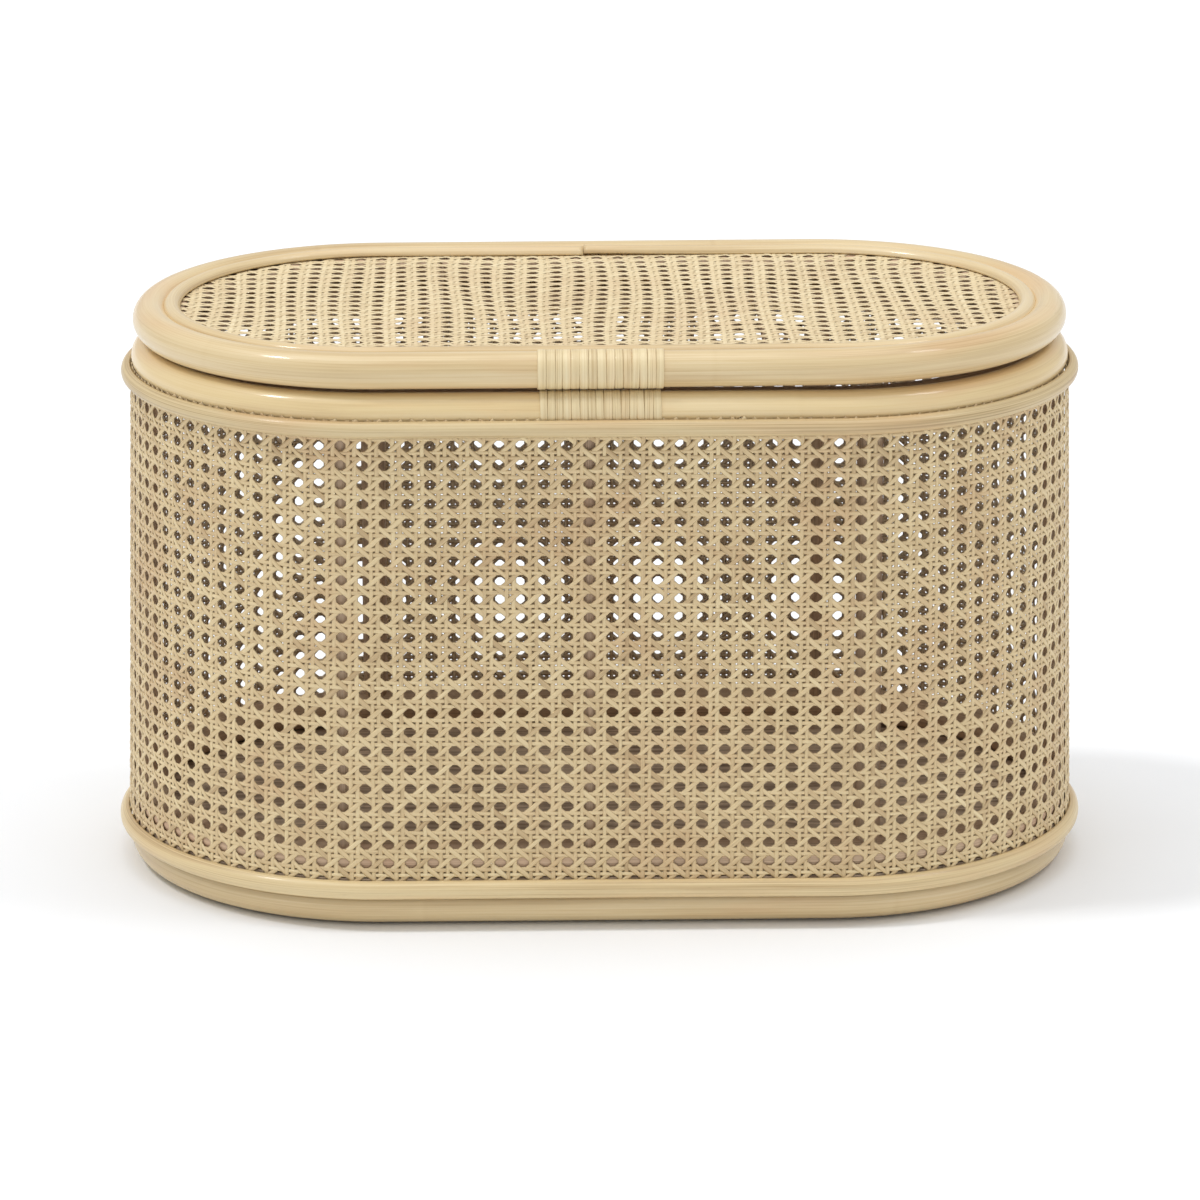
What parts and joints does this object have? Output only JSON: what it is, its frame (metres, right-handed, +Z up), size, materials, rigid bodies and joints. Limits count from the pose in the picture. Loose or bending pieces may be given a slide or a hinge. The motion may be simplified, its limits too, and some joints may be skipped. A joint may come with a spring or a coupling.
{
  "type": "ottoman with storage",
  "caption": "Oval rattan storage ottoman: cane-webbing trunk on a pole frame with half-round mouldings, lashed rim, and a woven hinged lid.",
  "frame": {"origin": "centre of the footprint on the floor, at the underside of the glides", "axes": "+X along the length, -Y is the front with the lashings, +Y the hinged back, +Z up"},
  "size_m": [0.6108, 0.3368, 0.3617],
  "materials": {
    "rattan_pole": "clear satin lacquer over peeled rattan",
    "split_cane": "clear satin lacquer, fine lengthwise grain",
    "cane_webbing": "natural woven cane strand, slight sheen",
    "lashing_peel": "flat rattan peel, satin",
    "plywood": "plain sanded plywood and softwood",
    "hinge_brass": "satin brass",
    "glide_nylon": "dark matte nylon"
  },
  "bodies": {
    "trunk": {"glides": "glide_nylon", "base_ring": "rattan_pole", "base_panel": "plywood", "base_battens": "plywood", "lower_frame_ring": "rattan_pole", "lower_moulding": "split_cane", "wall_webbing": "cane_webbing", "post_front_left": "rattan_pole", "post_front_center": "rattan_pole", "post_front_right": "rattan_pole", "post_back_left": "rattan_pole", "post_back_center": "rattan_pole", "post_back_right": "rattan_pole", "post_end_left": "rattan_pole", "post_end_right": "rattan_pole", "upper_moulding": "split_cane", "rim_ring": "rattan_pole", "rim_inner_ring": "rattan_pole", "rim_lashing": "lashing_peel", "hinge_left_body_leaf": "hinge_brass", "hinge_right_body_leaf": "hinge_brass", "hinge_left_pin": "hinge_brass", "hinge_right_pin": "hinge_brass", "hinge_body_screws": "hinge_brass"},
    "lid": {"lid_outer_ring": "rattan_pole", "lid_inner_moulding": "split_cane", "lid_support_ring": "rattan_pole", "lid_webbing": "cane_webbing", "lid_crossbar_left": "rattan_pole", "lid_crossbar_right": "rattan_pole", "lid_lashing": "lashing_peel", "hinge_left_lid_leaf": "hinge_brass", "hinge_right_lid_leaf": "hinge_brass", "hinge_lid_screws": "hinge_brass"}
  },
  "joints": [
    {"name": "lid_hinge", "type": "hinge", "parent": "trunk", "child": "lid", "pos_m": [0, 0.1551, 0.337], "axis": [-1, 0, 0], "range_deg": [0, 100]}
  ]
}
